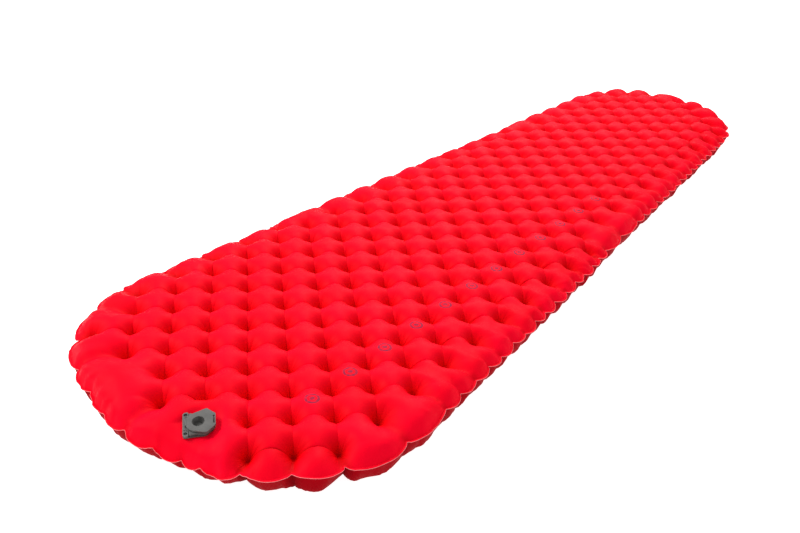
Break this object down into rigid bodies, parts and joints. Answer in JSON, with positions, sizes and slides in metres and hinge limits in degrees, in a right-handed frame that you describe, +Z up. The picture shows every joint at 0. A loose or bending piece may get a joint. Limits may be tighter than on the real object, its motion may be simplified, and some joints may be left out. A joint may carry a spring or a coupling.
{
  "type": "inflatable sleeping pad",
  "caption": "Tapered inflatable hiking mattress with rounded ends, a dot-welded quilted surface, and a flat valve with two hinged lids at the head end.",
  "frame": {"origin": "on the ground, under the middle of the pad's outline", "axes": "+X from the head end, where the valve is, to the narrower foot end; +Y to the pad's left; +Z up"},
  "size_m": [1.84, 0.562, 0.0588],
  "materials": {
    "upper_fabric": "smooth coated nylon, slight sheen",
    "lower_fabric": "matt coated nylon",
    "batting": "hollow-fibre batting",
    "film": "metallised film",
    "weld_film": "polyurethane sheet",
    "valve_plastic": "soft moulded polyurethane",
    "valve_dark_plastic": "soft moulded polyurethane",
    "seal_rubber": "silicone"
  },
  "bodies": {
    "root": {"top_shell": "upper_fabric", "bottom_shell": "lower_fabric", "insulation_batt": "batting", "reflective_film": "film", "valve_weld_flange": "weld_film", "valve_body": "valve_dark_plastic", "lid_strap": "valve_plastic", "strap_post_left": "valve_dark_plastic", "strap_post_right": "valve_dark_plastic"},
    "deflate_lid": {"deflate_lid": "valve_plastic", "deflate_seal": "seal_rubber", "check_seat": "valve_dark_plastic"},
    "inflate_cap": {"inflate_cap": "valve_plastic", "inflate_seal": "seal_rubber"},
    "check_valve": {"check_flap": "seal_rubber", "check_stem": "valve_dark_plastic"}
  },
  "joints": [
    {"name": "deflate_lid_hinge", "type": "hinge", "parent": "root", "child": "deflate_lid", "pos_m": [-0.87553, -0.05796, 0.05072], "axis": [-0.6657, -0.7305, -0.1525], "range_deg": [0, 90]},
    {"name": "inflate_cap_hinge", "type": "hinge", "parent": "deflate_lid", "child": "inflate_cap", "pos_m": [-0.87557, -0.05846, 0.05326], "axis": [-0.6657, -0.7305, -0.1525], "range_deg": [0, 80]},
    {"name": "check_valve_slide", "type": "slide", "parent": "deflate_lid", "child": "check_valve", "axis": [0.1288, 0.0888, -0.9877], "range_m": [0, 0.002], "stiffness_N_per_m": 60, "springref_m": -0.001}
  ]
}
